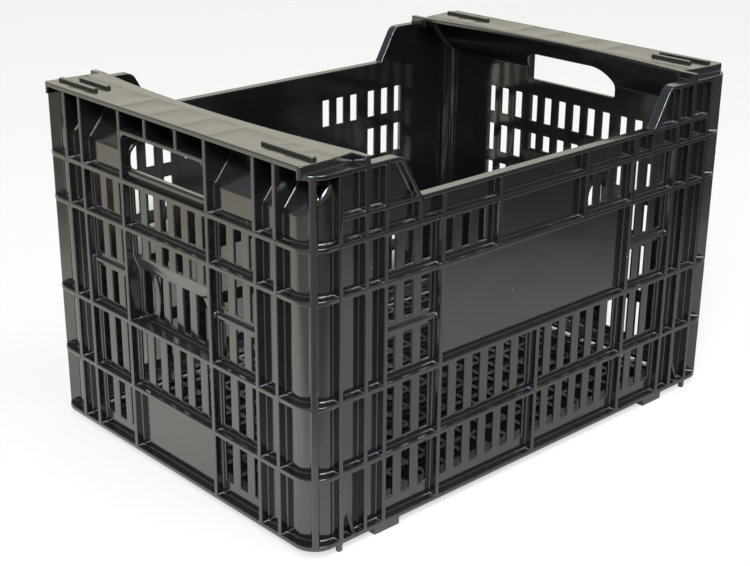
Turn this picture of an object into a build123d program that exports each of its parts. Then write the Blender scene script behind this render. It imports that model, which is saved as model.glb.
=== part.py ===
from build123d import *
import math
import os

# Harvest crate, one plastic moulding that stands on eight small feet.
# Millimetres, +Z up, origin on the ground under the middle of the crate.
# X runs along the length and Y along the width.
# The left end is at -X and the front side at -Y.

# Overall size in plan
length = 500.0
width = 356.0
corner_radius = 20.0

# Wall: a thin skin set back behind a grid of ribs
skin = 2.5
end_recess = 7.0
side_recess = 7.0
inner_corner_radius = 17.5
rib = 4.0
corner_rib = 5.5
corner_rib_angle = 50.0
partial_rib = 3.5
partial_rib_depth = 3.5

# Heights, stacked from the ground up. Rows are counted from rib middle to rib middle.
foot_height = 7.0
base_rim = 4.0
lower_row = 58.0
middle_row = 59.5
upper_row = 83.5
top_row = 40.0
sill_height = 8.0
grip_height = 29.5
grip_lip = 3.5
grip_gusset = 15.0
shelf_thickness = 4.0
overhang_start = 21.0
inner_crease_radius = 4.5
rim_row = 16.0
rim_thickness = 3.5
shelf_step = 6.5

# Rib places along the end, counted inwards from the side face
end_corner = 39.5
end_flute = 23.5
end_pocket = 58.0
gusset_spacing = 41.0

# Rib places along the side, counted inwards from the end face
side_corner = 29.5
side_flute = 25.0
side_inner_flute = 19.5
side_pocket = 59.5
upper_panel_length = 106.0
horn_foot_inset = 109.0
horn_rib_inset = 108.5
horn_slope_run = 19.5
horn_foot_radius = 4.0
horn_inner_radius = 6.5

# Ventilation slots
slot_width = 9.0
slot_gap = 9.6
slot_side_margin = 3.0
slot_end_margin = 4.5
slot_base_margin = 13.0
short_slot_height = 16.0
centre_band = 15.5

# Middle panel of each end, set back between the middle and upper ribs, with two bowed bars
label_recess = 5.5
label_ledge = 3.0
bow_outer = 7.0
bow_inner = 4.5

# Hand hole in each end
grip_corner_radius = 20.0
grip_lip_radius = 6.0
sill_bead = 5.5
sill_bead_depth = 3.5
sill_bead_radius = 2.0

# Top shelf on each end
shelf_corner_inset = 10.5
shelf_corner_radius = 3.0
shelf_bulge_inset = 10.8
shelf_bulge_setback = 22.0
shelf_tip_inset = 15.0
shelf_web = 4.0
shelf_depth_middle = 46.5
shelf_depth_end = 57.5
overhang_depth = 35.0
strip_thickness = 5.5

# Stacking bars on the shelf
bar_width = 5.0
bar_height = 2.5
single_bar_length = 57.0
single_bar_inset = 16.0
single_bar_setback = 18.5
outer_bar_length = 54.0
outer_bar_inset = 16.0
outer_bar_setback = 13.5
inner_bar_length = 42.0
inner_bar_inset = 27.0
inner_bar_setback = 26.5

# Floor grid, raised so that the stacking bars of a crate below fit under it
floor_rise = 3.0
floor_thickness = 4.0
floor_bar = 5.0
floor_opening = 20.0
floor_border = 12.0

# Feet under the long sides
pad_length = 27.0
pad_width = 9.0
pad_inset = 65.0
nub_length = 4.5
nub_width = 4.0
foot_side_inset = 1.0
foot_gusset = 3.0
foot_gusset_height = 17.0

# Places that follow from the sizes above
end_x = length / 2
side_y = width / 2
skin_x = end_x - end_recess
skin_y = side_y - side_recess
inner_x = skin_x - skin
inner_y = skin_y - skin
half_rib = rib / 2
half_partial = partial_rib / 2
half_slot = slot_width / 2
skin_corner_radius = inner_corner_radius + skin
crease_radius = inner_crease_radius + skin

base_z = foot_height
base_rim_z = base_z + base_rim
lower_rib_z = base_rim_z + lower_row - half_rib
middle_rib_z = lower_rib_z + middle_row
upper_rib_z = middle_rib_z + upper_row
top_rib_z = upper_rib_z + top_row
partial_rib_z = (middle_rib_z + upper_rib_z) / 2
rib_levels = [lower_rib_z, middle_rib_z, upper_rib_z, top_rib_z]
panel_z = top_rib_z + half_rib
sill_z = panel_z + sill_height
grip_z = sill_z + grip_height
grip_lip_z = grip_z + grip_lip
shelf_low_z = grip_lip_z + grip_gusset
shelf_z = shelf_low_z + shelf_thickness
crease_z = panel_z + overhang_start
rim_low_z = panel_z + rim_row
rim_z = rim_low_z + rim_thickness
horn_z = shelf_z - shelf_step
horn_low_z = horn_z - rim_thickness

end_rib_1 = side_y - end_corner
end_rib_2 = end_rib_1 - end_flute
end_rib_3 = end_rib_2 - end_pocket
end_panel_y = end_rib_1 + half_rib
grip_y = end_rib_3 - half_rib

side_rib_1 = end_x - side_corner
side_rib_2 = side_rib_1 - side_flute
side_rib_3 = side_rib_2 - side_inner_flute
side_rib_4 = side_rib_3 - side_pocket
horn_rib = end_x - horn_rib_inset
horn_edge = horn_rib - half_rib
horn_foot = end_x - horn_foot_inset
side_panel_x = side_rib_1 + half_rib
upper_panel_x = upper_panel_length / 2

end_ribs = [end_rib_1, end_rib_2, end_rib_3]
side_ribs = [side_rib_1, side_rib_2, side_rib_3, side_rib_4]

shelf_corner_y = side_y - shelf_corner_inset
shelf_bulge_y = side_y - shelf_bulge_inset
shelf_tip_y = side_y - shelf_tip_inset
strip_x = end_x - shelf_depth_end
strip_outer_x = strip_x + strip_thickness

lean = (overhang_depth - end_recess) / (shelf_low_z - crease_z)
lean_angle = math.atan(lean)
slot_pitch = slot_width + slot_gap
turn = Rot(0, 0, 180)


def block(x_low, x_high, y_low, y_high, z_low, z_high):
    solid = Box(x_high - x_low, y_high - y_low, z_high - z_low)
    middle = Pos((x_low + x_high) / 2, (y_low + y_high) / 2, (z_low + z_high) / 2)
    return middle * solid


def prism_along_y(outline, y_low, y_high):
    return Pos(0, y_high, 0) * extrude(Plane.XZ * outline, amount=y_high - y_low)


def prism_along_x(outline, x_low, x_high):
    return Pos(x_low, 0, 0) * extrude(Plane.YZ * outline, amount=x_high - x_low)


def upright_block(half_x, half_y, radius, z_low, z_high):
    plan = RectangleRounded(2 * half_x, 2 * half_y, radius)
    return Pos(0, 0, z_low) * extrude(plan, z_high - z_low)


def leaning_block(inset, corner, crease):
    # Upright rounded block whose two ends lean inwards above the crease
    half_x = skin_x - inset
    bend_z = crease_z - inset * (1 / math.cos(lean_angle) - 1) / lean
    top_x = half_x - (shelf_low_z - bend_z) * lean
    right = [(half_x, base_z), (half_x, bend_z), (top_x, shelf_low_z)]
    left = [(-x, z) for x, z in reversed(right)]
    profile = make_face(Polyline(*right, *left, close=True))
    upright = upright_block(half_x, skin_y - inset, corner, base_z, shelf_low_z)
    form = upright & prism_along_y(profile, -side_y, side_y)
    leaning_faces = form.faces().sort_by(Axis.Z)[-3:-1]
    creases = [edge for face in leaning_faces for edge in face.edges().sort_by(Axis.Z)[:-1]]
    return fillet(creases, crease)


outer_form = leaning_block(0, skin_corner_radius, crease_radius)
inner_form = leaning_block(skin, inner_corner_radius, inner_crease_radius)
shell = outer_form - inner_form
envelope = upright_block(end_x, side_y, corner_radius, base_z, shelf_low_z)
rib_space = envelope - outer_form


def ribs_in(region, slabs):
    space = rib_space & region
    return [space & slab for slab in slabs]


def slot_places(low, high):
    # Middles of the slots that fit side by side between two ribs
    clear = high - low - rib - 2 * slot_side_margin
    count = int((clear + slot_gap) / slot_pitch)
    middle = (low + high) / 2
    return [middle + (number - (count - 1) / 2) * slot_pitch for number in range(count)]


def slot_span(rib_below, rib_above):
    low = rib_below + half_rib + slot_end_margin
    high = rib_above - half_rib - slot_end_margin
    return low, high


def bottom_span():
    return base_rim_z + slot_base_margin, lower_rib_z - half_rib - slot_end_margin


def split_spans():
    # Slots above and below the partial rib
    lower = middle_rib_z + half_rib + slot_end_margin, partial_rib_z - half_partial - slot_end_margin
    upper = partial_rib_z + half_partial + slot_end_margin, upper_rib_z - half_rib - slot_end_margin
    return [lower, upper]


def centre_spans():
    # Short slots above a solid band and long slots below it
    low, high = slot_span(middle_rib_z, upper_rib_z)
    band_high = high - short_slot_height
    return [(low, band_high - centre_band), (band_high, high)]


def end_slot(y, span):
    return block(-end_x, -inner_x + label_recess + skin, y - half_slot, y + half_slot, *span)


def side_slot(x, span):
    return block(x - half_slot, x + half_slot, -side_y, -inner_y + skin, *span)


def end_slots():
    pocket_spans = [bottom_span(), *split_spans()]
    pocket_spans.append(slot_span(lower_rib_z, middle_rib_z))
    pocket_spans.append(slot_span(upper_rib_z, top_rib_z))
    middle_spans = [*centre_spans(), slot_span(lower_rib_z, middle_rib_z)]
    middle_spans.append(slot_span(upper_rib_z, top_rib_z))
    pockets = [
        (end_rib_3, end_rib_2, pocket_spans),
        (-end_rib_2, -end_rib_3, pocket_spans),
        (-end_rib_3, end_rib_3, middle_spans),
    ]
    slots = []
    for low, high, spans in pockets:
        for y in slot_places(low, high):
            slots += [end_slot(y, span) for span in spans]
    return slots


def side_slots():
    outer_spans = [bottom_span(), slot_span(lower_rib_z, middle_rib_z), *split_spans()]
    top_span = slot_span(upper_rib_z, top_rib_z)
    low_spans = [bottom_span(), slot_span(lower_rib_z, middle_rib_z)]
    pockets = [
        (side_rib_4, side_rib_3, [*outer_spans, top_span]),
        (0, side_rib_4, low_spans),
        (upper_panel_x, side_rib_4, [top_span]),
    ]
    slots = []
    for low, high, spans in pockets:
        for place in slot_places(low, high):
            for x in (place, -place):
                slots += [side_slot(x, span) for span in spans]
    return slots


def end_slab(y, z_low, z_high):
    return block(-end_x, 0, y - half_rib, y + half_rib, z_low, z_high)


def side_slab(x, z_low, z_high):
    return block(x - half_rib, x + half_rib, -side_y, 0, z_low, z_high)


def level_slab(z_low, z_high):
    return block(-end_x, end_x, -side_y, side_y, z_low, z_high)


def row_slabs():
    rows = [level_slab(z - half_rib, z + half_rib) for z in rib_levels]
    return [level_slab(base_z, base_rim_z), *rows]


def partial_end_rib(y_low, y_high):
    front = -skin_x - partial_rib_depth
    return block(front, -skin_x, y_low, y_high, partial_rib_z - half_partial, partial_rib_z + half_partial)


def partial_side_rib(x_low, x_high):
    front = -skin_y - partial_rib_depth
    return block(x_low, x_high, front, -skin_y, partial_rib_z - half_partial, partial_rib_z + half_partial)


def label_space(front_x, back_x, half_y, z_low):
    # Space from the front to the back of the set-back panel, which leans in over the lower part of the band
    long_high = centre_spans()[0][1]
    lean_high = centre_spans()[1][0] - label_ledge
    corners = [(front_x, z_low), (front_x, lean_high), (back_x, lean_high)]
    corners += [(back_x + label_recess, long_high), (back_x + label_recess, z_low)]
    return prism_along_y(make_face(Polyline(*corners, close=True)), -half_y, half_y)


def bow(y, depth):
    # Round segment beside a long slot's edge
    low, high = centre_spans()[0]
    arc = ThreePointArc((y, low), (y - depth, (low + high) / 2), (y, high))
    return prism_along_x(make_face([arc, Line((y, high), (y, low))]), -end_x, -inner_x + label_recess + skin)


def bowed_bars(wall):
    # The outermost bars between the long slots bend the same way
    places = slot_places(-end_rib_3, end_rib_3)
    middles = [(places[0] + places[1]) / 2, (places[-1] + places[-2]) / 2]
    cuts = [bow(y + slot_gap / 2, bow_outer) for y in middles]
    fills = [wall & bow(y - slot_gap / 2, bow_inner) for y in middles]
    return cuts, fills


def end_panel():
    region = block(-end_x, -inner_x, -end_panel_y, end_panel_y, base_z, panel_z)
    slabs = [end_slab(side * y, base_z, panel_z) for y in end_ribs for side in (1, -1)]
    hollow = label_space(-end_x, -skin_x, grip_y, middle_rib_z + half_rib)
    wall = label_space(-skin_x, -inner_x, grip_y + rib, middle_rib_z - half_rib) - hollow
    cuts, fills = bowed_bars(wall)
    body = (shell & region) - hollow + wall - end_slots() - cuts + fills
    body += ribs_in(region, slabs + row_slabs())
    return body + [partial_end_rib(end_rib_3, end_rib_2), partial_end_rib(-end_rib_2, -end_rib_3)]


def front_left_overhang():
    region = block(-end_x, 0, -end_panel_y, -grip_y, panel_z, shelf_low_z)
    slabs = [end_slab(-y, panel_z, shelf_low_z) for y in end_ribs]
    return (shell & region) + ribs_in(region, slabs)


def grip_opening(radius):
    # Flat at the bottom, with two round top corners
    corners = [(-grip_y, sill_z), (grip_y, sill_z), (grip_y, grip_z), (-grip_y, grip_z)]
    outline = FilletPolyline(*corners, radius=[0, 0, radius, radius], close=True)
    return prism_along_x(make_face(outline), -end_x, 0)


def grip():
    region = block(-end_x, 0, -grip_y, grip_y, sill_z, shelf_low_z)
    body = (shell & region) - grip_opening(grip_corner_radius)
    lip_region = block(-end_x, 0, -grip_y, grip_y, grip_z - grip_lip_radius, grip_lip_z)
    lip = (rib_space & lip_region) - grip_opening(grip_lip_radius)
    slabs = [end_slab(side * gusset_spacing / 2, grip_lip_z, shelf_low_z) for side in (1, -1)]
    return body + lip + ribs_in(region, slabs)


def grip_sill():
    region = block(-end_x, 0, -grip_y, grip_y, panel_z, sill_z)
    front = -skin_x - sill_bead_depth
    low = sill_z - sill_bead
    corners = [(front, low), (-skin_x, low), (-skin_x, sill_z), (front, sill_z)]
    radii = [sill_bead_radius, 0, 0, sill_bead_radius]
    profile = make_face(FilletPolyline(*corners, radius=radii, close=True))
    return (shell & region) + prism_along_y(profile, -grip_y, grip_y)


def shelf_end_edge(side, inset):
    # Bowed end of the shelf, from the outer corner to the strip, then across the strip
    points = [
        (-end_x, side * (shelf_corner_y - inset)),
        (-end_x + shelf_bulge_setback, side * (shelf_bulge_y - inset)),
        (-strip_outer_x, side * (shelf_tip_y - inset)),
    ]
    tip = (-strip_x, side * (shelf_tip_y - inset))
    return [ThreePointArc(*points), Line(points[-1], tip)]


def shelf_plan():
    middle = (-end_x + shelf_depth_middle, 0)
    tips = [(-strip_x, shelf_tip_y), (-strip_x, -shelf_tip_y)]
    outer = Line((-end_x, shelf_corner_y), (-end_x, -shelf_corner_y))
    inner = ThreePointArc(tips[0], middle, tips[1])
    plan = make_face([*shelf_end_edge(1, 0), *shelf_end_edge(-1, 0), outer, inner])
    corners = plan.vertices().sort_by(Axis.X)[:2]
    return fillet(corners, shelf_corner_radius)


def plan_inside_webs():
    reach = shelf_tip_y - shelf_web
    outer_reach = shelf_corner_y - shelf_web
    inner = Line((-strip_x, reach), (-strip_x, -reach))
    outer = Line((-end_x, outer_reach), (-end_x, -outer_reach))
    return make_face([*shelf_end_edge(1, shelf_web), *shelf_end_edge(-1, shelf_web), outer, inner])


def raised(plan, z_low, z_high):
    return Pos(0, 0, z_low) * extrude(plan, z_high - z_low)


shelf_column = raised(shelf_plan(), horn_low_z, shelf_z)
inside_webs = raised(plan_inside_webs(), horn_low_z, shelf_low_z)


def shelf():
    body = shelf_column - inside_webs
    for side in (1, -1):
        low, high = sorted((side * shelf_tip_y, side * side_y))
        body += block(-strip_outer_x, -strip_x, low, high, horn_z, shelf_z)
    return body


def stack_bar(setback, bar_length, inset, side):
    x = -end_x + setback
    outer_y = side_y - inset
    low, high = sorted((side * (outer_y - bar_length), side * outer_y))
    return block(x - bar_width / 2, x + bar_width / 2, low, high, shelf_z, shelf_z + bar_height)


def side_panel():
    region = block(-side_panel_x, side_panel_x, -side_y, -inner_y, base_z, panel_z)
    slabs = [side_slab(side * x, base_z, panel_z) for x in side_ribs for side in (1, -1)]
    slabs += [side_slab(side * upper_panel_x, upper_rib_z, panel_z) for side in (1, -1)]
    slabs.append(side_slab(0, base_z, middle_rib_z))
    body = (shell & region) - side_slots()
    body += ribs_in(region, slabs + row_slabs())
    partials = [partial_side_rib(side_rib_4, side_rib_3), partial_side_rib(-side_rib_3, -side_rib_4)]
    return body + partials + foot_gussets()


def foot_gussets():
    # Small triangles on the base rim, between the first two ribs from each corner
    triangle = make_face(
        Polyline(
            (-skin_y, base_rim_z),
            (-skin_y, base_rim_z + foot_gusset_height),
            (-side_y, base_rim_z),
            close=True,
        )
    )
    half = foot_gusset / 2
    middle = (side_rib_1 + side_rib_2) / 2
    return [prism_along_x(triangle, x - half, x + half) for x in (middle, -middle)]


def rim_outline(drop):
    # Side view of the wall below the rim, lowered by drop all along the rim
    rise = horn_z - rim_z
    slant = math.hypot(horn_slope_run, rise)
    foot_x = horn_foot + drop * (slant - horn_slope_run) / rise
    top_x = foot_x + horn_slope_run
    high = horn_z - drop
    right = [(foot_x, rim_z - drop), (top_x, high), (end_x, high), (end_x, base_z)]
    left = [(-x, z) for x, z in reversed(right)]
    radii = [horn_foot_radius + drop, horn_inner_radius + rim_thickness - drop, 0, 0]
    return make_face(FilletPolyline(*right, *left, radius=[*radii, *reversed(radii)], close=True))


wall_below_rim = prism_along_y(rim_outline(rim_thickness), -side_y, -inner_y)
rim_flange = prism_along_y(rim_outline(0), -side_y, -inner_y) - wall_below_rim


def front_rim():
    region = block(-horn_edge, horn_edge, -side_y, -inner_y, panel_z, shelf_low_z)
    under = region & wall_below_rim
    slabs = [side_slab(side * x, panel_z, horn_z) for x in (side_rib_4, upper_panel_x) for side in (1, -1)]
    return (shell & under) + ribs_in(under, slabs) + (rim_flange & region)


def front_left_horn():
    region = block(-side_panel_x, -horn_edge, -side_y, -inner_y, panel_z, shelf_low_z)
    under = region & wall_below_rim
    slabs = [side_slab(-x, panel_z, horn_z) for x in (side_rib_1, side_rib_2, side_rib_3)]
    slabs.append(side_slab(-horn_rib, panel_z, rim_z))
    slabs.append(block(-side_panel_x, -horn_edge, -side_y, 0, rim_low_z, rim_z))
    bridge = block(-side_panel_x, -strip_x, -side_y, -shelf_tip_y, horn_low_z, horn_z)
    flange = (rim_flange & region) + bridge - shelf_column
    return (shell & under) + ribs_in(under, slabs) + flange


def front_left_corner():
    outer = block(-end_x, -side_panel_x, -side_y, -inner_y, base_z, horn_low_z)
    inner = block(-end_x, -strip_x, -inner_y, -end_panel_y, base_z, horn_low_z)
    upper = block(-end_x, -strip_x, -side_y, -end_panel_y, horn_low_z, shelf_low_z) & inside_webs
    region = outer + inner
    centre = Pos(-end_x + corner_radius, -side_y + corner_radius, 0)
    plate = block(-2 * corner_radius, 0, -corner_rib / 2, corner_rib / 2, base_z, horn_low_z)
    corner_slab = centre * Rot(0, 0, corner_rib_angle) * plate
    flange = envelope & block(-end_x, -side_panel_x, -side_y, -end_panel_y, horn_low_z, horn_z)
    body = (shell & region) + (shell & upper)
    return body + ribs_in(region, [corner_slab, *row_slabs()]) + (flange - shelf_column)


def floor_grid():
    pitch = floor_bar + floor_opening
    count_x = int((2 * (inner_x - floor_border) + floor_bar) / pitch)
    count_y = int((2 * (inner_y - floor_border) + floor_bar) / pitch)
    plan = RectangleRounded(2 * inner_x, 2 * inner_y, inner_corner_radius)
    openings = GridLocations(pitch, pitch, count_x, count_y) * Rectangle(floor_opening, floor_opening)
    return Pos(0, 0, base_z + floor_rise) * extrude(plan - openings, floor_thickness)


def foot(outer_x, foot_length, foot_width):
    outer_y = -side_y + foot_side_inset
    return block(outer_x, outer_x + foot_length, outer_y, outer_y + foot_width, 0, base_z)


def end_pair(name, shape):
    return {"left_" + name: shape, "right_" + name: turn * shape}


def side_pair(name, shape):
    return {"front_" + name: shape, "rear_" + name: turn * shape}


def four_corners(name, front_left):
    front_right = mirror(front_left, about=Plane.YZ)
    return {
        "front_left_" + name: front_left,
        "front_right_" + name: front_right,
        "rear_right_" + name: turn * front_left,
        "rear_left_" + name: turn * front_right,
    }


def crate():
    nodes = {"floor_grid": floor_grid()}
    nodes |= end_pair("end_panel", end_panel())
    nodes |= end_pair("grip", grip())
    nodes |= end_pair("grip_sill", grip_sill())
    nodes |= end_pair("shelf", shelf())
    single = stack_bar(single_bar_setback, single_bar_length, single_bar_inset, -1)
    outer = stack_bar(outer_bar_setback, outer_bar_length, outer_bar_inset, 1)
    inner = stack_bar(inner_bar_setback, inner_bar_length, inner_bar_inset, 1)
    nodes |= end_pair("single_stack_bar", single)
    nodes |= end_pair("outer_stack_bar", outer)
    nodes |= end_pair("inner_stack_bar", inner)
    nodes |= side_pair("side_panel", side_panel())
    nodes |= side_pair("rim", front_rim())
    nodes |= four_corners("overhang", front_left_overhang())
    nodes |= four_corners("horn", front_left_horn())
    nodes |= four_corners("corner", front_left_corner())
    nodes |= four_corners("foot_pad", foot(-end_x + pad_inset, pad_length, pad_width))
    nodes |= four_corners("foot_nub", foot(-side_rib_1 - nub_length / 2, nub_length, nub_width))
    return nodes


os.makedirs("parts", exist_ok=True)
for node, shape in crate().items():
    export_step(shape, "parts/" + node + ".step")
    print(node, round(shape.volume / 1000, 1), "cm3")
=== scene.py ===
import math

import bmesh
import bpy
from mathutils import Matrix, Vector
from mathutils.bvhtree import BVHTree


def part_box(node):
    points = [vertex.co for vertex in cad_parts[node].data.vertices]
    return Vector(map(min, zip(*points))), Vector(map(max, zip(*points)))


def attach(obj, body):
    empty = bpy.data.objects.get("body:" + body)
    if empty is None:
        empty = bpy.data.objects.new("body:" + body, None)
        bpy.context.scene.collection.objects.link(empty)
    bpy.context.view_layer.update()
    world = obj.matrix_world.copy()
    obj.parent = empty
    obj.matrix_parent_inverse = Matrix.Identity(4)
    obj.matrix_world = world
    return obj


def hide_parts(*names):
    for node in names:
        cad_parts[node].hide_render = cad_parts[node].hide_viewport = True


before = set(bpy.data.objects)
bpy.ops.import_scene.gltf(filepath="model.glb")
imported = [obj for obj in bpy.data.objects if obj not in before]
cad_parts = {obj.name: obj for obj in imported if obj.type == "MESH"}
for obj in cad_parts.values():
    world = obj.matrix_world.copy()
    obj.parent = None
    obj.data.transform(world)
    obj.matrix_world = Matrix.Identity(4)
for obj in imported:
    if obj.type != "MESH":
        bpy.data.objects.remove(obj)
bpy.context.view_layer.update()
scene = bpy.context.scene
scene.view_settings.view_transform = "Standard"
print("frame loaded,", len(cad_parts), "nodes")

# camera, at the photo's viewing angle
view = {
    "place": (-0.847878, -0.886076, 0.592319),
    "right": (0.7338512, -0.6792550, 0.0086588),
    "up": (0.2411799, 0.2724388, 0.9314555),
    "back": (-0.6350548, -0.6814614, 0.3637522),
    "lens": 68.309,
    "sensor": 36,
}


def makeCamera():
    lensData = bpy.data.cameras.new("crateView")
    lensData.sensor_width = view["sensor"]
    lensData.lens = view["lens"]
    camera = bpy.data.objects.new("crateView", lensData)
    turn = Matrix((view["right"], view["up"], view["back"])).transposed()
    camera.matrix_world = Matrix.Translation(view["place"]) @ turn.to_4x4()
    scene.collection.objects.link(camera)
    scene.camera = camera


makeCamera()


def addNode(tree, kind, **values):
    node = tree.nodes.new(kind)
    for name, value in values.items():
        setattr(node, name, value)
    return node


def link(tree, source, target):
    tree.links.new(source, target)


# a socket is linked, a plain value is set
def feed(tree, socket, value):
    if isinstance(value, bpy.types.NodeSocket):
        link(tree, value, socket)
    else:
        socket.default_value = value


def nodeMath(tree, operation, *values):
    node = addNode(tree, "ShaderNodeMath", operation=operation)
    for socket, value in zip(node.inputs, values):
        feed(tree, socket, value)
    return node.outputs[0]


def product(tree, first, *others):
    for other in others:
        first = nodeMath(tree, "MULTIPLY", first, other)
    return first


def vectorMath(tree, operation, first, second=None):
    node = addNode(tree, "ShaderNodeVectorMath", operation=operation)
    feed(tree, node.inputs[0], first)
    if second is not None:
        feed(tree, node.inputs["Scale"] if operation == "SCALE" else node.inputs[1], second)
    return node.outputs["Value"] if operation in ("DOT_PRODUCT", "LENGTH") else node.outputs["Vector"]


def mapRange(tree, value, low, high, toLow=0.0, toHigh=1.0):
    node = addNode(tree, "ShaderNodeMapRange", interpolation_type="SMOOTHSTEP")
    labels = ("Value", "From Min", "From Max", "To Min", "To Max")
    for label, number in zip(labels, (value, low, high, toLow, toHigh)):
        feed(tree, node.inputs[label], number)
    return node.outputs["Result"]


def colourMix(tree, factor, first, second):
    node = addNode(tree, "ShaderNodeMix", data_type="RGBA")
    feed(tree, node.inputs["Factor"], factor)
    feed(tree, node.inputs["A"], first)
    feed(tree, node.inputs["B"], second)
    return node.outputs["Result"]


def splitAxes(tree, vector):
    node = addNode(tree, "ShaderNodeSeparateXYZ")
    link(tree, vector, node.inputs[0])
    return node.outputs


def noise(tree, vector, scale, detail):
    node = addNode(tree, "ShaderNodeTexNoise")
    feed(tree, node.inputs["Vector"], vector)
    feed(tree, node.inputs["Scale"], scale)
    feed(tree, node.inputs["Detail"], detail)
    return node.outputs["Fac"]


def startGroup(name, takes, gives):
    tree = bpy.data.node_groups.new(name, "ShaderNodeTree")
    for label in takes:
        kind = "NodeSocketVector" if label in ("Vector", "Normal") else "NodeSocketFloat"
        tree.interface.new_socket(label, in_out="INPUT", socket_type=kind)
    for label in gives:
        tree.interface.new_socket(label, in_out="OUTPUT", socket_type="NodeSocketFloat")
    return tree, addNode(tree, "NodeGroupInput").outputs, addNode(tree, "NodeGroupOutput").inputs


def placeGroup(tree, group, values):
    node = addNode(tree, "ShaderNodeGroup", node_tree=group)
    for label, value in values.items():
        feed(tree, node.inputs[label], value)
    return node.outputs


# fine grain of the mould and the slow ripple that shrinking leaves
skinDetail = {"grain": 2.0, "ripple": 1.0}


def makeMouldSkin():
    tree, takes, gives = startGroup(
        "mouldSkin", ["Vector", "Grain Scale", "Ripple Scale"], ["Grain", "Ripple"]
    )
    link(tree, noise(tree, takes["Vector"], takes["Grain Scale"], skinDetail["grain"]), gives["Grain"])
    link(tree, noise(tree, takes["Vector"], takes["Ripple Scale"], skinDetail["ripple"]), gives["Ripple"])
    return tree


# hair-thin scratches in patches, and pale specks
handling = {
    "turns": ((0.5, 0.2, 0.9), (1.3, 0.8, -0.6)),  # scratches run two ways
    "stretch": (0.05, 1.0, 1.0),
    "lineLevel": 0.5,  # a scratch follows this level of the noise
    "lineFade": (0.004, 0.02, 1.0, 0.0),
    "patchScale": 0.12,
    "patchDetail": 2.0,
    "patchFade": (0.75, 0.8),
    "speckFade": (0.03, 0.07, 1.0, 0.0),
}


def makeHandlingMarks():
    tree, takes, gives = startGroup(
        "handlingMarks",
        ["Vector", "Scratch Scale", "Scratch Share", "Speck Scale", "Speck Share"],
        ["Scratches", "Specks"],
    )
    spot = vectorMath(tree, "SCALE", takes["Vector"], takes["Scratch Scale"])
    lines = []
    for turn in handling["turns"]:
        stretch = addNode(tree, "ShaderNodeMapping")
        stretch.inputs["Rotation"].default_value = turn
        stretch.inputs["Scale"].default_value = handling["stretch"]
        link(tree, spot, stretch.inputs["Vector"])
        level = noise(tree, stretch.outputs["Vector"], 1.0, 0.0)
        off = nodeMath(tree, "ABSOLUTE", nodeMath(tree, "SUBTRACT", level, handling["lineLevel"]))
        lines.append(mapRange(tree, off, *handling["lineFade"]))
    patchSpot = vectorMath(tree, "SCALE", spot, handling["patchScale"])
    where = noise(tree, patchSpot, 1.0, handling["patchDetail"])
    low, high = handling["patchFade"]
    patch = mapRange(tree, where, nodeMath(tree, "SUBTRACT", low, takes["Scratch Share"]), high)
    link(tree, product(tree, nodeMath(tree, "MAXIMUM", *lines), patch), gives["Scratches"])
    cells = addNode(tree, "ShaderNodeTexVoronoi")
    link(tree, takes["Vector"], cells.inputs["Vector"])
    link(tree, takes["Speck Scale"], cells.inputs["Scale"])
    draw = splitAxes(tree, cells.outputs["Color"])["X"]
    chance = nodeMath(tree, "LESS_THAN", draw, takes["Speck Share"])
    dot = mapRange(tree, cells.outputs["Distance"], *handling["speckFade"])
    link(tree, product(tree, dot, chance), gives["Specks"])
    return tree


# dust on what faces up
settling = {"upward": (0.5, 0.95), "patchScale": 55.0, "patchDetail": 5.0, "patchFade": (0.3, 0.75)}


def makeSettledDust():
    tree, takes, gives = startGroup("settledDust", ["Vector", "Normal", "Dust Share"], ["Dust"])
    up = mapRange(tree, splitAxes(tree, takes["Normal"])["Z"], *settling["upward"])
    where = noise(tree, takes["Vector"], settling["patchScale"], settling["patchDetail"])
    patch = mapRange(tree, where, *settling["patchFade"])
    link(tree, product(tree, up, patch, takes["Dust Share"]), gives["Dust"])
    return tree


# rubbing along the proud edges, broken up
rubbing = {"patchScale": 140.0, "patchDetail": 4.0, "patchFade": (0.42, 0.68)}


def makeEdgeWear():
    tree, takes, gives = startGroup("edgeWear", ["Vector", "Edge", "Rub Share"], ["Rub"])
    where = noise(tree, takes["Vector"], rubbing["patchScale"], rubbing["patchDetail"])
    patch = mapRange(tree, where, *rubbing["patchFade"])
    link(tree, product(tree, takes["Edge"], patch, takes["Rub Share"]), gives["Rub"])
    return tree


mouldSkin = makeMouldSkin()
handlingMarks = makeHandlingMarks()
settledDust = makeSettledDust()
edgeWear = makeEdgeWear()

# finishes of the black plastic; grain, ripple and scratch depths in mm
finishes = {
    "wallPlastic": {
        "colour": (0.0086, 0.0086, 0.009, 1), "roughness": 0.11, "coat": 0.3,
        "grain": 0.001, "ripple": 0.5, "scratch": 0.004,
        "scratchShare": 0.16, "specks": 0.10, "dust": 0.05, "rub": 0.35,
    },
    "shelfPlastic": {
        "colour": (0.0094, 0.0094, 0.0095, 1), "roughness": 0.15, "coat": 0.6,
        "grain": 0.003, "ripple": 0.3, "scratch": 0.006,
        "scratchShare": 0.22, "specks": 0.12, "dust": 0.07, "rub": 0.4,
    },
    "floorPlastic": {
        "colour": (0.0083, 0.0083, 0.0085, 1), "roughness": 0.24, "coat": 0.0,
        "grain": 0.004, "ripple": 0.1, "scratch": 0.01,
        "scratchShare": 0.3, "specks": 0.2, "dust": 0.16, "rub": 0.5,
    },
    "barPlastic": {
        "colour": (0.009, 0.009, 0.009, 1), "roughness": 0.17, "coat": 0.5,
        "grain": 0.002, "ripple": 0.05, "scratch": 0.008,
        "scratchShare": 0.3, "specks": 0.05, "dust": 0.04, "rub": 0.8,
    },
}
wearColours = {
    "dust": (0.17, 0.155, 0.13, 1),
    "rub": (0.028, 0.028, 0.029, 1),
    "speck": (0.3, 0.29, 0.27, 1),
}
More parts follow.
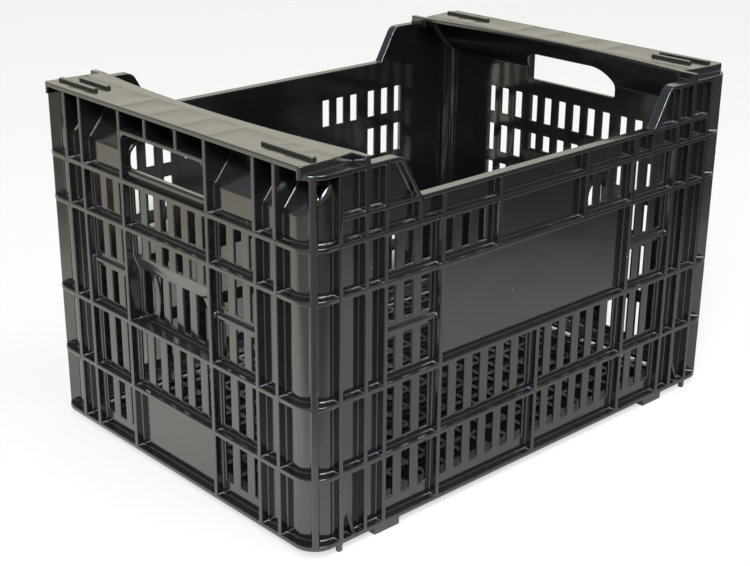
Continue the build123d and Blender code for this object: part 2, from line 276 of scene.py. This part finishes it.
# the same on every finish
markScales = {"grain": 1500.0, "ripple": 24.0, "scratch": 260.0, "speck": 70.0}  # cells to the metre
dulling = {"ripple": 0.06, "scratches": 0.2, "dust": 1.2, "rub": 0.25, "specks": 0.4}  # added roughness
gloss = {"IOR": 1.72, "Specular IOR Level": 1.0, "Coat Roughness": 0.12}
millimetre = 0.001


def makeFinish(name, look):
    material = bpy.data.materials.new(name)
    material.use_nodes = True
    tree = material.node_tree
    shader = tree.nodes["Principled BSDF"]
    place = addNode(tree, "ShaderNodeTexCoord").outputs["Object"]
    normal = addNode(tree, "ShaderNodeNewGeometry").outputs["Normal"]
    edge = addNode(tree, "ShaderNodeAttribute", attribute_name="proudEdge").outputs["Fac"]
    skin = placeGroup(tree, mouldSkin, {
        "Vector": place, "Grain Scale": markScales["grain"], "Ripple Scale": markScales["ripple"],
    })
    marks = placeGroup(tree, handlingMarks, {
        "Vector": place,
        "Scratch Scale": markScales["scratch"], "Scratch Share": look["scratchShare"],
        "Speck Scale": markScales["speck"], "Speck Share": look["specks"],
    })
    dustValues = {"Vector": place, "Normal": normal, "Dust Share": look["dust"]}
    dust = placeGroup(tree, settledDust, dustValues)["Dust"]
    rub = placeGroup(tree, edgeWear, {"Vector": place, "Edge": edge, "Rub Share": look["rub"]})["Rub"]
    colour = colourMix(tree, dust, look["colour"], wearColours["dust"])
    colour = colourMix(tree, rub, colour, wearColours["rub"])
    link(tree, colourMix(tree, marks["Specks"], colour, wearColours["speck"]), shader.inputs["Base Color"])
    # the ripple dulls and brightens by equal amounts, the marks only dull
    rippled = product(tree, skin["Ripple"], dulling["ripple"])
    rough = nodeMath(tree, "ADD", rippled, look["roughness"] - dulling["ripple"] / 2)
    masks = {"scratches": marks["Scratches"], "dust": dust, "rub": rub, "specks": marks["Specks"]}
    for mark, mask in masks.items():
        rough = nodeMath(tree, "ADD", rough, product(tree, mask, dulling[mark]))
    link(tree, rough, shader.inputs["Roughness"])
    height = product(tree, skin["Grain"], look["grain"])
    height = nodeMath(tree, "ADD", height, product(tree, skin["Ripple"], look["ripple"]))
    height = nodeMath(tree, "SUBTRACT", height, product(tree, marks["Scratches"], look["scratch"]))
    bump = addNode(tree, "ShaderNodeBump")
    bump.inputs["Strength"].default_value = 1.0
    bump.inputs["Distance"].default_value = millimetre
    link(tree, height, bump.inputs["Height"])
    link(tree, bump.outputs["Normal"], shader.inputs["Normal"])
    shader.inputs["Coat Weight"].default_value = look["coat"]
    for label, value in gloss.items():
        shader.inputs[label].default_value = value
    return material


plastics = {name: makeFinish(name, look) for name, look in finishes.items()}


def finishOf(nodeName):
    if nodeName == "floor_grid":
        return plastics["floorPlastic"]
    if nodeName.endswith("_shelf"):
        return plastics["shelfPlastic"]
    if "stack_bar" in nodeName or "foot" in nodeName:
        return plastics["barPlastic"]
    return plastics["wallPlastic"]


print("finishes made,", len(plastics))

# every piece of the moulding, its edges rounded as the mould leaves them
moulding = {
    "outerRadius": 0.0009,  # along the ribs' front edges and other proud edges
    "innerRadius": 0.0012,  # in the corners between ribs and skin
    "edgeSteps": 3,
    "sharpAngle": math.radians(30),  # flatter edges are facets of a curve
    "creaseAngle": math.radians(31),  # sharper edges stay creases once the rest is rounded
    "flatAngle": math.radians(0.6),  # facets as level as this are one face
    "levelAngle": math.radians(0.05),
    "proudAngles": (math.radians(22), math.radians(50)),  # between the strips of a rounded proud edge
    "weld": 1e-5,
    "sliver": 1.2e-4,
    "contact": 3e-5,  # closer than this, two pieces meet
    "seamShares": (0.2, 0.5, 0.8),  # where along an edge its neighbours are felt for
    "turned": 0.5,  # a triangle that agrees less than this with its face has turned over
    "twist": 2e-7,  # area in m2 by which a rounded face may turn over
    "tries": 8,
    "shortTries": 2,  # first tries, which leave only short edges unrounded
    "shortEdge": 0.02,
    "faultReach": 0.0018,  # how far from a turned face its edges are looked for
    "normalWeight": 100,
}


def weldedCopy(nodeName):
    mesh = bmesh.new()
    mesh.from_mesh(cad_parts[nodeName].data)
    bmesh.ops.remove_doubles(mesh, verts=mesh.verts, dist=moulding["weld"])
    return mesh


pieceTrees = {}
pieceBoxes = {}
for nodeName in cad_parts:
    mesh = weldedCopy(nodeName)
    pieceTrees[nodeName] = BVHTree.FromBMesh(mesh)
    pieceBoxes[nodeName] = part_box(nodeName)
    mesh.free()


def touches(point, nodeName):
    low, high = pieceBoxes[nodeName]
    reach = moulding["contact"]
    inside = all(low[axis] - reach < point[axis] < high[axis] + reach for axis in range(3))
    return inside and pieceTrees[nodeName].find_nearest(point, reach)[0] is not None


def edgeOnSeam(edge, ownName):
    start, end = (vert.co for vert in edge.verts)
    points = [start.lerp(end, share) for share in moulding["seamShares"]]
    return all(any(touches(point, name) for name in pieceTrees if name != ownName) for point in points)


def camelName(nodeName):
    first, *rest = nodeName.split("_")
    return first + "".join(word.capitalize() for word in rest)


# flat faces become well-shaped triangles, so that no thin one folds over when its edges are rounded
def squaredCopy(nodeName):
    mesh = weldedCopy(nodeName)
    bmesh.ops.dissolve_limit(mesh, angle_limit=moulding["flatAngle"], verts=mesh.verts, edges=mesh.edges)
    bmesh.ops.dissolve_degenerate(mesh, dist=moulding["sliver"], edges=mesh.edges)
    bmesh.ops.triangulate(mesh, faces=[face for face in mesh.faces if len(face.verts) > 4])
    flat = [edge for edge in mesh.edges if edge.calc_face_angle(math.pi) < moulding["levelAngle"]]
    around = dict.fromkeys(face for edge in flat for face in edge.link_faces if len(face.verts) == 3)
    bmesh.ops.beautify_fill(mesh, faces=list(around), edges=flat, method="ANGLE")
    return mesh


# where faces have turned over, and their area
def twistedFaces(data):
    data.calc_loop_triangles()
    turned = {}
    for triangle in data.loop_triangles:
        face = data.polygons[triangle.polygon_index]
        if triangle.normal.dot(face.normal) < moulding["turned"]:
            turned[face.index] = turned.get(face.index, 0) + triangle.area
    faults = {index: area for index, area in turned.items() if area > moulding["twist"]}
    return [data.polygons[index].center.copy() for index in faults], sum(faults.values())


def nearEdge(point, start, end, reach):
    along = end - start
    share = max(0, min(1, (point - start).dot(along) / along.length_squared))
    return (start + along * share - point).length < reach


# marks the rows of points along rounded proud edges, where rubbing shows
def markProudEdges(data):
    mesh = bmesh.new()
    mesh.from_mesh(data)
    marks = [0.0] * len(mesh.verts)
    least, most = moulding["proudAngles"]
    for edge in mesh.edges:
        if len(edge.link_faces) == 2 and least < edge.calc_face_angle_signed() < most:
            for vert in edge.verts:
                marks[vert.index] = 1.0
    mesh.free()
    data.attributes.new("proudEdge", "FLOAT", "POINT").data.foreach_set("value", marks)


def evaluatedMesh(piece):
    depsgraph = bpy.context.evaluated_depsgraph_get()
    data = bpy.data.meshes.new_from_object(piece.evaluated_get(depsgraph))
    piece.modifiers.clear()
    return data


def roundedMesh(piece, weights):
    layer = piece.data.attributes.new("bevel_weight_edge", "FLOAT", "EDGE")
    layer.data.foreach_set("value", weights)
    rounding = piece.modifiers.new("moulded edges", "BEVEL")
    rounding.limit_method = "WEIGHT"
    rounding.width = moulding["innerRadius"]
    rounding.segments = moulding["edgeSteps"]
    rounding.use_clamp_overlap = False
    rounded = evaluatedMesh(piece)
    piece.data.attributes.remove(piece.data.attributes["bevel_weight_edge"])
    return rounded


# seams stay as they are, so that neighbours still meet
def edgeWeights(mesh, nodeName):
    outerShare = moulding["outerRadius"] / moulding["innerRadius"]
    weights = [0.0] * len(mesh.edges)
    for edge in mesh.edges:
        if edge.calc_face_angle(0) > moulding["sharpAngle"] and not edgeOnSeam(edge, nodeName):
            weights[edge.index] = outerShare if edge.is_convex else 1.0
    return weights


# an edge that folds when rounded is left as it is, the short ones first
def roundEdges(piece, weights):
    corners = [vert.co.copy() for vert in piece.data.vertices]
    ends = [[corners[index] for index in edge.vertices] for edge in piece.data.edges]
    least = math.inf
    for attempt in range(moulding["tries"]):
        rounded = roundedMesh(piece, weights)
        faults, area = twistedFaces(rounded)
        if area < least:
            least, best, left = area, rounded, len(faults)
        if not faults:
            break
        longest = moulding["shortEdge"] if attempt < moulding["shortTries"] else math.inf
        for index, (start, end) in enumerate(ends):
            if weights[index] and (end - start).length < longest:
                if any(nearEdge(point, start, end, moulding["faultReach"]) for point in faults):
                    weights[index] = 0.0
    print(piece.name, "tries", attempt + 1, "faults", left, "faces", len(best.polygons))
    return best


# flat faces keep their own direction, so that their reflections stay straight
def evenShading(piece):
    piece.data.set_sharp_from_angle(angle=moulding["creaseAngle"])
    even = piece.modifiers.new("even shading", "WEIGHTED_NORMAL")
    even.keep_sharp = True
    even.weight = moulding["normalWeight"]
    piece.data = evaluatedMesh(piece)


# the shelf tops sink in a little over the ribs under them
shelfSinks = {
    "gussets": (0.0205, 0.0577, 0.1143, 0.1378),  # how far each gusset under the shelf is from the middle
    "wall": 0.2105,  # where the leaning wall meets the shelf
    "width": 0.016,
    "depth": 0.0006,
    "edgeFade": 0.003,  # none at the rim of the shelf
    "edgeMargin": 0.3,  # share of that fade kept level
    "barFade": 0.014,  # nor under the bars on it
    "rowStep": 0.004,
    "rowGap": 0.001,  # a row nearer than this to a gusset gives way to it
    "columns": range(-1, 10),  # rows of points from just inside the wall out to the rim
    "cutSnap": 1e-6,
    "upright": 0.9999,
}


def sinkAt(away):
    return max(0.0, 1 - abs(away) / shelfSinks["width"]) ** 2


def cutRows(mesh, faces, axis, places):
    direction = Vector((0, 0, 0))
    direction[axis] = 1
    for place in places:
        around = dict.fromkeys(item for face in faces for item in (face, *face.edges, *face.verts))
        cut = bmesh.ops.bisect_plane(
            mesh, geom=list(around), dist=shelfSinks["cutSnap"],
            plane_co=direction * place, plane_no=direction,
        )
        faces = list(dict.fromkeys(item for item in cut["geom"] if isinstance(item, bmesh.types.BMFace)))
    return faces


# how far out of a box a point is, seen from above
def awayFrom(point, box):
    low, high = box
    return max(max(low[axis] - point[axis], point[axis] - high[axis]) for axis in (0, 1))


def pressSinks(data, low, high):
    mesh = bmesh.new()
    mesh.from_mesh(data)
    topLevel = high[2] - moulding["weld"]
    top = [face for face in mesh.faces if face.normal.z > shelfSinks["upright"]]
    top = [face for face in top if face.calc_center_median().z > topLevel]
    step = shelfSinks["rowStep"]
    lines = [side * place for place in shelfSinks["gussets"] for side in (-1, 1)]
    rows = [index * step for index in range(-int(high[1] / step), int(high[1] / step) + 1)]
    rows = [row for row in rows if all(abs(row - line) > shelfSinks["rowGap"] for line in lines)]
    side = 1 if high[0] > 0 else -1
    columns = [side * (shelfSinks["wall"] + index * step) for index in shelfSinks["columns"]]
    top = cutRows(mesh, cutRows(mesh, top, 1, sorted(rows + lines)), 0, columns)
    top = bmesh.ops.triangulate(mesh, faces=top)["faces"]
    bars = [box for name, box in pieceBoxes.items() if "stack_bar" in name]
    for vert in {vert for face in top for vert in face.verts}:
        outX, outY = abs(vert.co.x), abs(vert.co.y)
        overGussets = max(sinkAt(outY - place) for place in shelfSinks["gussets"])
        past = max(0.0, min(1.0, (outX - shelfSinks["wall"]) / step))
        sink = max(overGussets * past, sinkAt(outX - shelfSinks["wall"]))
        fromRim = -awayFrom(vert.co, (low, high)) / shelfSinks["edgeFade"]
        inside = min(1.0, fromRim - shelfSinks["edgeMargin"])
        bare = min(1.0, min(awayFrom(vert.co, bar) for bar in bars) / shelfSinks["barFade"])
        vert.co.z -= shelfSinks["depth"] * sink * max(0.0, inside) * max(0.0, bare)
    mesh.to_mesh(data)
    mesh.free()


def makeMoulded(nodeName):
    mesh = squaredCopy(nodeName)
    mesh.edges.index_update()
    weights = edgeWeights(mesh, nodeName)
    data = bpy.data.meshes.new(camelName(nodeName))
    mesh.to_mesh(data)
    mesh.free()
    if "custom_normal" in data.attributes:
        data.attributes.remove(data.attributes["custom_normal"])
    data.shade_smooth()
    piece = bpy.data.objects.new(camelName(nodeName), data)
    scene.collection.objects.link(piece)
    piece.data = roundEdges(piece, weights)
    low, high = pieceBoxes[nodeName]
    for vert in piece.data.vertices:  # no rounded corner stands proud of the piece's own sides
        vert.co = [max(low[axis], min(high[axis], vert.co[axis])) for axis in range(3)]
    if nodeName.endswith("_shelf"):
        pressSinks(piece.data, low, high)
    evenShading(piece)
    piece.data.materials.clear()
    piece.data.materials.append(finishOf(nodeName))
    markProudEdges(piece.data)
    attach(piece, "root")
    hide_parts(nodeName)
    return piece


pieces = {nodeName: makeMoulded(nodeName) for nodeName in sorted(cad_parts)}
print("moulded pieces made,", len(pieces))

# fillets in the corners where one piece meets the next, swept along the seams
seamFillet = {
    "radius": 0.0012,
    "arcPoints": 5,
    "probe": 0.0004,  # how far from a seam the faces beside it are felt for
    "shortest": 0.0015,
    "narrowest": math.radians(50),
    "widest": math.radians(130),
}


def edgeMiddle(edge):
    return (edge.verts[0].co + edge.verts[1].co) / 2


# the direction in a face that leads away from one of its edges
def faceInward(edge, face):
    along = (edge.verts[1].co - edge.verts[0].co).normalized()
    inward = face.normal.cross(along)
    return inward if (face.calc_center_median() - edgeMiddle(edge)).dot(inward) > 0 else -inward


# edges with one face in sight and the other held against a neighbour that stands past the edge
def seamCorners(nodeName):
    mesh = squaredCopy(nodeName)
    others = [name for name in pieceTrees if name != nodeName]
    found = []
    for edge in mesh.edges:
        if edge.calc_face_angle(0) < moulding["sharpAngle"] or edge.calc_length() < seamFillet["shortest"]:
            continue
        if not edgeOnSeam(edge, nodeName):
            continue
        middle = edgeMiddle(edge)
        inward = [faceInward(edge, face) for face in edge.link_faces]
        felt = [middle + side * seamFillet["probe"] for side in inward]
        held = [next((name for name in others if touches(point, name)), None) for point in felt]
        if (held[0] is None) == (held[1] is None):
            continue
        shown, hidden = (0, 1) if held[0] is None else (1, 0)
        beyond = -inward[hidden]
        if not touches(middle + beyond * seamFillet["radius"], held[hidden]):
            continue
        angle = inward[shown].angle(beyond)
        if seamFillet["narrowest"] < angle < seamFillet["widest"]:
            found.append((*(vert.co.copy() for vert in edge.verts), inward[shown].copy(), beyond))
    mesh.free()
    return found


def seamLines():
    filleted = [nodeName for nodeName in sorted(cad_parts) if "stack_bar" not in nodeName]
    corners = [corner for nodeName in filleted for corner in seamCorners(nodeName)]
    points, edges, sidesA, sidesB = [], [], [], []
    for start, end, sideA, sideB in corners:
        if (end - start).cross(sideA).dot(sideB) < 0:
            start, end = end, start
        edges.append((len(points), len(points) + 1))
        points += [start, end]
        sidesA += [*sideA, *sideA]
        sidesB += [*sideB, *sideB]
    data = bpy.data.meshes.new("seamFillets")
    data.from_pydata(points, edges, [])
    for name, sides in (("sideA", sidesA), ("sideB", sidesB)):
        data.attributes.new(name, "FLOAT_VECTOR", "POINT").data.foreach_set("vector", sides)
    return data


def storeNamed(tree, geometry, name, value, kind="FLOAT"):
    node = addNode(tree, "GeometryNodeStoreNamedAttribute", data_type=kind, domain="POINT")
    node.inputs["Name"].default_value = name
    link(tree, geometry, node.inputs["Geometry"])
    link(tree, value, node.inputs["Value"])
    return node.outputs["Geometry"]


def readNamed(tree, name, kind="FLOAT"):
    node = addNode(tree, "GeometryNodeInputNamedAttribute", data_type=kind)
    node.inputs["Name"].default_value = name
    return node.outputs["Attribute"]


# a hollow corner profile is carried along each seam, its two flat sides laid on the two pieces
def filletTree():
    tree = bpy.data.node_groups.new("seamFilletSweep", "GeometryNodeTree")
    sockets = {"Seams": "Geometry", "Radius": "Float", "Arc Points": "Int", "Plastic": "Material"}
    for label, kind in sockets.items():
        tree.interface.new_socket(label, in_out="INPUT", socket_type="NodeSocket" + kind)
    tree.interface.new_socket("Fillets", in_out="OUTPUT", socket_type="NodeSocketGeometry")
    given = addNode(tree, "NodeGroupInput").outputs
    made = addNode(tree, "NodeGroupOutput").inputs

    ring = addNode(tree, "GeometryNodeCurvePrimitiveCircle")
    link(tree, nodeMath(tree, "ADD", given["Arc Points"], 1), ring.inputs["Resolution"])
    index = addNode(tree, "GeometryNodeInputIndex").outputs[0]
    step = nodeMath(tree, "SUBTRACT", index, 1)
    last = nodeMath(tree, "SUBTRACT", given["Arc Points"], 1)
    turn = product(tree, nodeMath(tree, "DIVIDE", step, last), math.pi / 2)
    onArc = nodeMath(tree, "GREATER_THAN", index, 0.5)  # the first point stays in the corner
    across, upward = (
        product(tree, onArc, nodeMath(tree, "SUBTRACT", 1, nodeMath(tree, operation, turn)))
        for operation in ("SINE", "COSINE")
    )
    profile = storeNamed(tree, ring.outputs["Curve"], "across", across)
    profile = storeNamed(tree, profile, "upward", upward)

    position = addNode(tree, "GeometryNodeInputPosition").outputs[0]
    path = addNode(tree, "GeometryNodeMeshToCurve")
    link(tree, storeNamed(tree, given["Seams"], "seamPoint", position, "FLOAT_VECTOR"), path.inputs["Mesh"])
    sweep = addNode(tree, "GeometryNodeCurveToMesh")
    sweep.inputs["Fill Caps"].default_value = True
    link(tree, path.outputs["Curve"], sweep.inputs["Curve"])
    link(tree, profile, sweep.inputs["Profile Curve"])

    offsets = []
    for side, share in (("sideA", "across"), ("sideB", "upward")):
        reach = product(tree, readNamed(tree, share), given["Radius"])
        offsets.append(vectorMath(tree, "SCALE", readNamed(tree, side, "FLOAT_VECTOR"), reach))
    offset = vectorMath(tree, "ADD", *offsets)
    seamPoint = readNamed(tree, "seamPoint", "FLOAT_VECTOR")
    place = addNode(tree, "GeometryNodeSetPosition")
    link(tree, sweep.outputs["Mesh"], place.inputs["Geometry"])
    link(tree, vectorMath(tree, "ADD", seamPoint, offset), place.inputs["Position"])
    whole = addNode(tree, "GeometryNodeRealizeInstances")
    link(tree, place.outputs["Geometry"], whole.inputs["Geometry"])
    finish = addNode(tree, "GeometryNodeSetMaterial")
    link(tree, whole.outputs["Geometry"], finish.inputs["Geometry"])
    link(tree, given["Plastic"], finish.inputs["Material"])
    link(tree, finish.outputs["Geometry"], made["Fillets"])
    return tree


def plainMesh(piece):
    data = piece.data = evaluatedMesh(piece)
    for name in ("sideA", "sideB", "seamPoint", "across", "upward"):
        if name in data.attributes:
            data.attributes.remove(data.attributes[name])


def makeSeamFillets():
    piece = bpy.data.objects.new("seamFillets", seamLines())
    scene.collection.objects.link(piece)
    sweep = piece.modifiers.new("seam fillets", "NODES")
    sweep.node_group = filletTree()
    values = {
        "Radius": seamFillet["radius"],
        "Arc Points": seamFillet["arcPoints"],
        "Plastic": plastics["wallPlastic"],
    }
    for item in sweep.node_group.interface.items_tree:
        if item.name in values:
            sweep[item.identifier] = values[item.name]
    plainMesh(piece)
    mesh = bmesh.new()
    mesh.from_mesh(piece.data)
    bmesh.ops.recalc_face_normals(mesh, faces=mesh.faces)
    mesh.to_mesh(piece.data)
    mesh.free()
    piece.data.shade_smooth()
    piece.data.set_sharp_from_angle(angle=moulding["sharpAngle"])
    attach(piece, "root")
    return piece


seamFillets = makeSeamFillets()
print("seam fillets made,", len(seamFillets.data.polygons), "faces")

white = (1.0, 1.0, 1.0, 1.0)
black = (0.0, 0.0, 0.0, 1.0)
# the floor; fades are from, to, and the shares there
floorLook = {
    "size": 12.0,
    "colour": (0.3, 0.29, 0.26, 1),
    "glow": 0.74,  # part of the floor's white that no cast shadow takes away, only the painted shades under and behind the crate
    "across": (0.68, -0.73, 0.0),  # to the right, as the camera sees it
    "ahead": (-0.68, -0.73, 0.0),  # towards the camera
    # the floor as the crate's gloss shows it, from the far left to the far right, in metres
    "mirrored": {
        -0.9: (0.67, 0.625, 0.51, 1),
        -0.3: (0.86, 0.855, 0.81, 1),
        0.2: (0.25, 0.247, 0.225, 1),
        0.85: (0.07, 0.07, 0.07, 1),
    },
    "acrossFade": (0.2, 0.85, 1.0, 0.1),
    "aheadFade": (0.34, 0.6, 1.0, 0.38),
    "underReach": (0.218, 0.146),  # the painted shade on the floor under the crate, less its round corners
    "underFade": (0.013, 0.028),
    # how far the painted shade under the crate darkens the floor's colour
    "underColour": (0.0, 1.0, 0.12, 1.0),
}
# a painted shadow of the crate on the floor behind it, drawn in the floor's colour and glow
paintedCrateShadow = {
    "nearFade": (0.16, 0.19),
    "farFade": (0.42, 0.78, 1.0, 0.0),
    "slant": (1.0, -0.562, 0.0),
    "leftFade": (-0.33, -0.22),
    "rightFade": (0.2, 0.36, 1.0, 0.0),
    "light": (0.0, 1.0, 1.0, 0.14),
}


def mirroredFloor(tree, across):
    stops = floorLook["mirrored"]
    left, right = min(stops), max(stops)
    ramp = addNode(tree, "ShaderNodeValToRGB")
    ramp.color_ramp.interpolation = "EASE"
    for index, (place, colour) in enumerate(sorted(stops.items())):
        share = (place - left) / (right - left)
        stop = ramp.color_ramp.elements[0] if index == 0 else ramp.color_ramp.elements.new(share)
        stop.position, stop.color = share, colour
    ramp.color_ramp.elements.remove(ramp.color_ramp.elements[len(stops)])
    spot = nodeMath(tree, "DIVIDE", nodeMath(tree, "SUBTRACT", across, left), right - left)
    link(tree, spot, ramp.inputs["Fac"])
    return ramp.outputs["Color"]


# painted shade under the crate: 0 under it, 1 on the open floor
def clearOfPaintedShadeUnder(tree, axes):
    squares = []
    for axis, reach in zip("XY", floorLook["underReach"]):
        past = nodeMath(tree, "SUBTRACT", nodeMath(tree, "ABSOLUTE", axes[axis]), reach)
        squares.append(nodeMath(tree, "POWER", nodeMath(tree, "MAXIMUM", past, 0.0), 2.0))
    away = nodeMath(tree, "SQRT", nodeMath(tree, "ADD", *squares))
    return mapRange(tree, away, *floorLook["underFade"])


# painted shadow behind the crate: 1 on the open floor, down to its light share inside it
def lightLeftByPaintedShadow(tree, place, axes):
    slant = vectorMath(tree, "DOT_PRODUCT", place, paintedCrateShadow["slant"])
    shadow = product(
        tree,
        mapRange(tree, axes["Y"], *paintedCrateShadow["nearFade"]),
        mapRange(tree, axes["Y"], *paintedCrateShadow["farFade"]),
        mapRange(tree, slant, *paintedCrateShadow["leftFade"]),
        mapRange(tree, axes["X"], *paintedCrateShadow["rightFade"]),
    )
    return mapRange(tree, shadow, *paintedCrateShadow["light"])


def makeFloor():
    half = floorLook["size"] / 2
    corners = [(-half, -half, 0), (half, -half, 0), (half, half, 0), (-half, half, 0)]
    data = bpy.data.meshes.new("floor")
    data.from_pydata(corners, [], [(0, 1, 2, 3)])
    floor = bpy.data.objects.new("floor", data)
    scene.collection.objects.link(floor)
    material = bpy.data.materials.new("paleFloor")
    material.use_nodes = True
    tree = material.node_tree
    shader = tree.nodes["Principled BSDF"]
    shader.inputs["Roughness"].default_value = 1.0
    shader.inputs["Specular IOR Level"].default_value = 0.0
    place = addNode(tree, "ShaderNodeTexCoord").outputs["Object"]
    axes = splitAxes(tree, place)
    # clear is the floor's light left by the painted shades under and behind the crate
    clear = product(tree, clearOfPaintedShadeUnder(tree, axes), lightLeftByPaintedShadow(tree, place, axes))
    # the floor dims to the right and in front, and only the crate's gloss shows it
    across = vectorMath(tree, "DOT_PRODUCT", place, floorLook["across"])
    ahead = vectorMath(tree, "DOT_PRODUCT", place, floorLook["ahead"])
    acrossLight = mapRange(tree, across, *floorLook["acrossFade"])
    aheadLight = mapRange(tree, ahead, *floorLook["aheadFade"])
    dim = nodeMath(tree, "SUBTRACT", 1.0, product(tree, acrossLight, aheadLight))
    path = addNode(tree, "ShaderNodeLightPath")
    glossy = path.outputs["Is Glossy Ray"]
    seen = nodeMath(tree, "MAXIMUM", path.outputs["Is Camera Ray"], glossy)
    share = nodeMath(tree, "SUBTRACT", 1.0, product(tree, glossy, dim))
    link(tree, product(tree, seen, clear, share, floorLook["glow"]), shader.inputs["Emission Strength"])
    glowColour = colourMix(tree, glossy, white, mirroredFloor(tree, across))
    link(tree, glowColour, shader.inputs["Emission Color"])
    # the painted shades darken the floor's colour under and behind the crate
    shown = product(tree, share, mapRange(tree, clear, *floorLook["underColour"]))
    link(tree, colourMix(tree, shown, black, floorLook["colour"]), shader.inputs["Base Color"])
    data.materials.append(material)


lamps = {
    "cameraSoftbox": {"place": (-1.17, -1.0, 1.68), "size": (0.8, 1.5), "power": 100},
    "topSoftbox": {"place": (0.05, -0.95, 2.1), "size": (1.4, 1.4), "power": 60},
}
lampLook = {
    "colour": (0.86, 0.94, 1.0),
    "aim": (0.0, 0.0, 0.15),
    "clothMiddle": (0.5, 0.5, 0.0),
    "clothFade": (0.08, 0.5, 1.0, 0.0),  # brightest in the middle of the cloth, none at the frame
}


def makeLamp(name, place, size, power):
    lampData = bpy.data.lights.new(name, "AREA")
    lampData.shape = "RECTANGLE"
    lampData.size, lampData.size_y = size
    lampData.energy = power
    lampData.color = lampLook["colour"]
    lampData.use_nodes = True
    tree = lampData.node_tree
    cloth = addNode(tree, "ShaderNodeNewGeometry").outputs["Parametric"]
    away = vectorMath(tree, "LENGTH", vectorMath(tree, "SUBTRACT", cloth, lampLook["clothMiddle"]))
    link(tree, mapRange(tree, away, *lampLook["clothFade"]), tree.nodes["Emission"].inputs["Strength"])
    lamp = bpy.data.objects.new(name, lampData)
    lamp.location = place
    lamp.rotation_mode = "QUATERNION"
    lamp.rotation_quaternion = (Vector(lampLook["aim"]) - Vector(place)).to_track_quat("-Z", "Y")
    lamp.visible_camera = False
    scene.collection.objects.link(lamp)


# what the crate's gloss shows above the floor: a pale backdrop behind it, a room on the other sides
surroundings = {
    "backdropSide": (0.68, 0.73, 0.0),
    "backdropFade": (0.25, 0.7),
    "backdropTop": (0.5, 0.75, 1.0, 0.0),
    # a colour low down, one higher up, and the heights between which it changes
    "backdrop": {"low": (0.42, 0.4, 0.34, 1), "high": (1.0, 0.96, 0.82, 1), "change": (0.1, 0.34)},
    "room": {"low": (0.235, 0.22, 0.185, 1), "high": (0.19, 0.215, 0.25, 1), "change": (0.38, 0.52)},
    "ambient": (0.4, 0.4, 0.4, 1),
}


def gradedColour(tree, height, look):
    return colourMix(tree, mapRange(tree, height, *look["change"]), look["low"], look["high"])


def makeWorld():
    world = bpy.data.worlds.new("studioWorld")
    world.use_nodes = True
    tree = world.node_tree
    sky = tree.nodes["Background"]
    path = addNode(tree, "ShaderNodeLightPath")
    heading = addNode(tree, "ShaderNodeTexCoord").outputs["Generated"]
    height = splitAxes(tree, heading)["Z"]
    toward = vectorMath(tree, "DOT_PRODUCT", heading, surroundings["backdropSide"])
    behind = mapRange(tree, toward, *surroundings["backdropFade"])
    low = mapRange(tree, height, *surroundings["backdropTop"])
    backdrop = gradedColour(tree, height, surroundings["backdrop"])
    room = gradedColour(tree, height, surroundings["room"])
    mirrored = colourMix(tree, product(tree, behind, low), room, backdrop)
    lit = colourMix(tree, path.outputs["Is Glossy Ray"], surroundings["ambient"], mirrored)
    link(tree, colourMix(tree, path.outputs["Is Camera Ray"], lit, white), sky.inputs["Color"])
    scene.world = world


makeFloor()
for lampName, lamp in lamps.items():
    makeLamp(lampName, **lamp)
makeWorld()
print("studio made")
